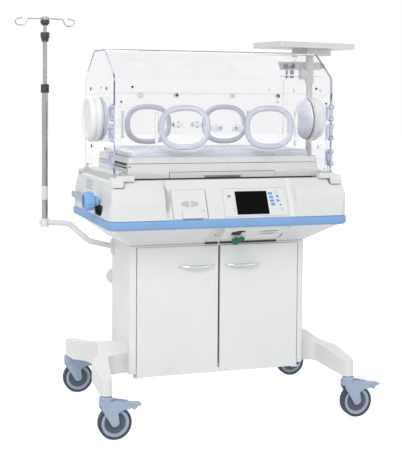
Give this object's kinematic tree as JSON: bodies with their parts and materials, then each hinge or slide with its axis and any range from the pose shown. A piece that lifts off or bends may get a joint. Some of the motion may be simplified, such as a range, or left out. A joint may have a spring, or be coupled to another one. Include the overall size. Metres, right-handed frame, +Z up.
{
  "type": "infant incubator",
  "caption": "Closed infant incubator on a cabinet trolley: clear hood with hand ports, tilting mattress, blue bumper, castors, drip pole and monitor shelf.",
  "frame": {"origin": "on the floor under the middle of the whole object", "axes": "+X to the operator's right, +Y to the back, +Z up"},
  "size_m": [1.4989, 0.714, 1.59],
  "materials": {
    "white_paint": "smooth white painted panels, satin",
    "white_enamel": "white powder-coated steel tube and plate",
    "chrome": "polished chrome-plated steel",
    "shell_plastic": "moulded off-white plastic, fine satin",
    "blue_plastic": "light blue moulded plastic",
    "black_plastic": "gloss black",
    "green_plastic": "green moulded plastic",
    "rail_metal": "anodised grey aluminium",
    "clear_acrylic": "clear acrylic, polished edges",
    "silicone": "translucent blue-grey silicone",
    "foam": "smooth mattress cover, pale blue-grey",
    "castor_plastic": "blue-grey glass-filled plastic",
    "castor_wheel": "dark navy tread on a blue-grey wheel centre"
  },
  "bodies": {
    "root": {"cabinet_shell": "white_paint", "leg_frame_left": "white_paint", "leg_frame_right": "white_paint", "lower_pan": "shell_plastic", "controller_module": "shell_plastic", "release_catch": "green_plastic", "bumper": "blue_plastic", "upper_shell": "shell_plastic", "control_panel": "shell_plastic", "display_screen": "black_plastic", "keypad": "blue_plastic", "accessory_rails": "rail_metal", "main_deck": "shell_plastic", "hood": "clear_acrylic", "tube_grommets": "silicone", "iris_flanges": "shell_plastic", "hood_blocks": "shell_plastic", "iv_arm": "white_enamel", "iv_lower_tube": "chrome", "iv_lower_collar": "black_plastic", "shelf_post": "white_enamel", "clamp_bar": "white_enamel"},
    "castor_front_left_swivel_body": {"castor_front_left_fork": "castor_plastic"},
    "castor_front_left_wheel_body": {"castor_front_left_wheel": "castor_wheel"},
    "castor_front_left_pedal_body": {"castor_front_left_pedal": "castor_plastic"},
    "castor_front_right_swivel_body": {"castor_front_right_fork": "castor_plastic"},
    "castor_front_right_wheel_body": {"castor_front_right_wheel": "castor_wheel"},
    "castor_front_right_pedal_body": {"castor_front_right_pedal": "castor_plastic"},
    "castor_rear_left_swivel_body": {"castor_rear_left_fork": "castor_plastic"},
    "castor_rear_left_wheel_body": {"castor_rear_left_wheel": "castor_wheel"},
    "castor_rear_left_pedal_body": {"castor_rear_left_pedal": "castor_plastic"},
    "castor_rear_right_swivel_body": {"castor_rear_right_fork": "castor_plastic"},
    "castor_rear_right_wheel_body": {"castor_rear_right_wheel": "castor_wheel"},
    "castor_rear_right_pedal_body": {"castor_rear_right_pedal": "castor_plastic"},
    "door_left": {"cabinet_door_left": "white_paint", "door_handle_left": "chrome"},
    "door_right": {"cabinet_door_right": "white_paint", "door_handle_right": "chrome"},
    "humidity_drawer_body": {"humidity_drawer": "shell_plastic"},
    "xray_drawer_body": {"xray_drawer": "shell_plastic"},
    "tilt_frame_body": {"tilt_frame": "rail_metal"},
    "tray_body": {"mattress_tray": "shell_plastic", "mattress": "foam"},
    "knob_left": {"tilt_knob_left": "blue_plastic"},
    "knob_right": {"tilt_knob_right": "blue_plastic"},
    "front_panel_body": {"front_access_panel": "clear_acrylic", "front_port_cuffs": "silicone", "front_port_fittings": "shell_plastic"},
    "front_port_left_body": {"front_port_door_left": "clear_acrylic"},
    "front_port_right_body": {"front_port_door_right": "clear_acrylic"},
    "rear_panel_body": {"rear_access_panel": "clear_acrylic", "rear_port_cuffs": "silicone", "rear_port_fittings": "shell_plastic"},
    "rear_port_left_body": {"rear_port_door_left": "clear_acrylic"},
    "rear_port_right_body": {"rear_port_door_right": "clear_acrylic"},
    "iris_left": {"iris_ring_left": "shell_plastic"},
    "iris_right": {"iris_ring_right": "shell_plastic"},
    "iv_middle_body": {"iv_middle_tube": "chrome"},
    "iv_top_body": {"iv_top_hooks": "chrome"},
    "shelf_body": {"monitor_shelf": "white_enamel"}
  },
  "joints": [
    {"name": "castor_front_left_swivel", "type": "hinge", "parent": "root", "child": "castor_front_left_swivel_body", "pos_m": [-0.494, -0.328, 0.17], "axis": [0, 0, 1], "continuous": true},
    {"name": "castor_front_left_roll", "type": "hinge", "parent": "castor_front_left_swivel_body", "child": "castor_front_left_wheel_body", "pos_m": [-0.461, -0.328, 0.0625], "axis": [0, 1, 0], "continuous": true},
    {"name": "castor_front_left_brake", "type": "hinge", "parent": "castor_front_left_swivel_body", "child": "castor_front_left_pedal_body", "pos_m": [-0.462, -0.328, 0.136], "axis": [0, -1, 0], "range_deg": [0, 18]},
    {"name": "castor_front_right_swivel", "type": "hinge", "parent": "root", "child": "castor_front_right_swivel_body", "pos_m": [0.494, -0.328, 0.17], "axis": [0, 0, 1], "continuous": true},
    {"name": "castor_front_right_roll", "type": "hinge", "parent": "castor_front_right_swivel_body", "child": "castor_front_right_wheel_body", "pos_m": [0.527, -0.328, 0.0625], "axis": [0, 1, 0], "continuous": true},
    {"name": "castor_front_right_brake", "type": "hinge", "parent": "castor_front_right_swivel_body", "child": "castor_front_right_pedal_body", "pos_m": [0.526, -0.328, 0.136], "axis": [0, -1, 0], "range_deg": [0, 18]},
    {"name": "castor_rear_left_swivel", "type": "hinge", "parent": "root", "child": "castor_rear_left_swivel_body", "pos_m": [-0.494, 0.328, 0.17], "axis": [0, 0, 1], "continuous": true},
    {"name": "castor_rear_left_roll", "type": "hinge", "parent": "castor_rear_left_swivel_body", "child": "castor_rear_left_wheel_body", "pos_m": [-0.461, 0.328, 0.0625], "axis": [0, 1, 0], "continuous": true},
    {"name": "castor_rear_left_brake", "type": "hinge", "parent": "castor_rear_left_swivel_body", "child": "castor_rear_left_pedal_body", "pos_m": [-0.462, 0.328, 0.136], "axis": [0, -1, 0], "range_deg": [0, 18]},
    {"name": "castor_rear_right_swivel", "type": "hinge", "parent": "root", "child": "castor_rear_right_swivel_body", "pos_m": [0.494, 0.328, 0.17], "axis": [0, 0, 1], "continuous": true},
    {"name": "castor_rear_right_roll", "type": "hinge", "parent": "castor_rear_right_swivel_body", "child": "castor_rear_right_wheel_body", "pos_m": [0.527, 0.328, 0.0625], "axis": [0, 1, 0], "continuous": true},
    {"name": "castor_rear_right_brake", "type": "hinge", "parent": "castor_rear_right_swivel_body", "child": "castor_rear_right_pedal_body", "pos_m": [0.526, 0.328, 0.136], "axis": [0, -1, 0], "range_deg": [0, 18]},
    {"name": "door_left_hinge", "type": "hinge", "parent": "root", "child": "door_left", "pos_m": [-0.331, -0.174, 0.43], "axis": [0, 0, 1], "range_deg": [-110, 0]},
    {"name": "door_right_hinge", "type": "hinge", "parent": "root", "child": "door_right", "pos_m": [0.331, -0.174, 0.43], "axis": [0, 0, 1], "range_deg": [0, 110]},
    {"name": "humidity_drawer_slide", "type": "slide", "parent": "root", "child": "humidity_drawer_body", "axis": [0, -1, 0], "range_m": [0, 0.16]},
    {"name": "xray_drawer_slide", "type": "slide", "parent": "root", "child": "xray_drawer_body", "axis": [0, 1, 0], "range_m": [-0.3, 0]},
    {"name": "raise_right_end", "type": "hinge", "parent": "root", "child": "tilt_frame_body", "pos_m": [-0.384, 0, 1], "axis": [0, -1, 0], "range_deg": [0, 12]},
    {"name": "raise_left_end", "type": "hinge", "parent": "tilt_frame_body", "child": "tray_body", "pos_m": [0.384, 0, 1], "axis": [0, 1, 0], "range_deg": [0, 12]},
    {"name": "knob_left_turn", "type": "hinge", "parent": "root", "child": "knob_left", "pos_m": [-0.51, -0.14, 0.866], "axis": [-1, 0, 0], "range_deg": [0, 1080]},
    {"name": "knob_right_turn", "type": "hinge", "parent": "root", "child": "knob_right", "pos_m": [0.51, -0.14, 0.866], "axis": [1, 0, 0], "range_deg": [0, 1080]},
    {"name": "front_panel_hinge", "type": "hinge", "parent": "root", "child": "front_panel_body", "pos_m": [0, -0.2491, 0.984], "axis": [1, 0, 0], "range_deg": [0, 100]},
    {"name": "front_port_left_hinge", "type": "hinge", "parent": "front_panel_body", "child": "front_port_left_body", "pos_m": [-0.285, -0.2621, 1.15], "axis": [0, 0, -1], "range_deg": [0, 170]},
    {"name": "front_port_right_hinge", "type": "hinge", "parent": "front_panel_body", "child": "front_port_right_body", "pos_m": [0.285, -0.2621, 1.15], "axis": [0, 0, 1], "range_deg": [0, 170]},
    {"name": "rear_panel_hinge", "type": "hinge", "parent": "root", "child": "rear_panel_body", "pos_m": [0, 0.2491, 0.984], "axis": [-1, 0, 0], "range_deg": [0, 100]},
    {"name": "rear_port_left_hinge", "type": "hinge", "parent": "rear_panel_body", "child": "rear_port_left_body", "pos_m": [-0.285, 0.2621, 1.15], "axis": [0, 0, 1], "range_deg": [0, 170]},
    {"name": "rear_port_right_hinge", "type": "hinge", "parent": "rear_panel_body", "child": "rear_port_right_body", "pos_m": [0.285, 0.2621, 1.15], "axis": [0, 0, -1], "range_deg": [0, 170]},
    {"name": "iris_left_turn", "type": "hinge", "parent": "root", "child": "iris_left", "pos_m": [-0.47, 0, 1.178], "axis": [1, 0, 0], "range_deg": [-90, 90]},
    {"name": "iris_right_turn", "type": "hinge", "parent": "root", "child": "iris_right", "pos_m": [0.47, 0, 1.178], "axis": [1, 0, 0], "range_deg": [-90, 90]},
    {"name": "iv_middle_slide", "type": "slide", "parent": "root", "child": "iv_middle_body", "axis": [0, 0, 1], "range_m": [-0.17, 0.2]},
    {"name": "iv_top_slide", "type": "slide", "parent": "iv_middle_body", "child": "iv_top_body", "axis": [0, 0, 1], "range_m": [-0.024, 0.3]},
    {"name": "shelf_swivel", "type": "hinge", "parent": "root", "child": "shelf_body", "pos_m": [0.555, 0.205, 1.46], "axis": [0, 0, 1], "range_deg": [-90, 90]}
  ],
  "couplings": [
    {"joint": "knob_left_turn", "follows": "raise_left_end", "ratio": 90},
    {"joint": "knob_right_turn", "follows": "raise_right_end", "ratio": 90}
  ]
}
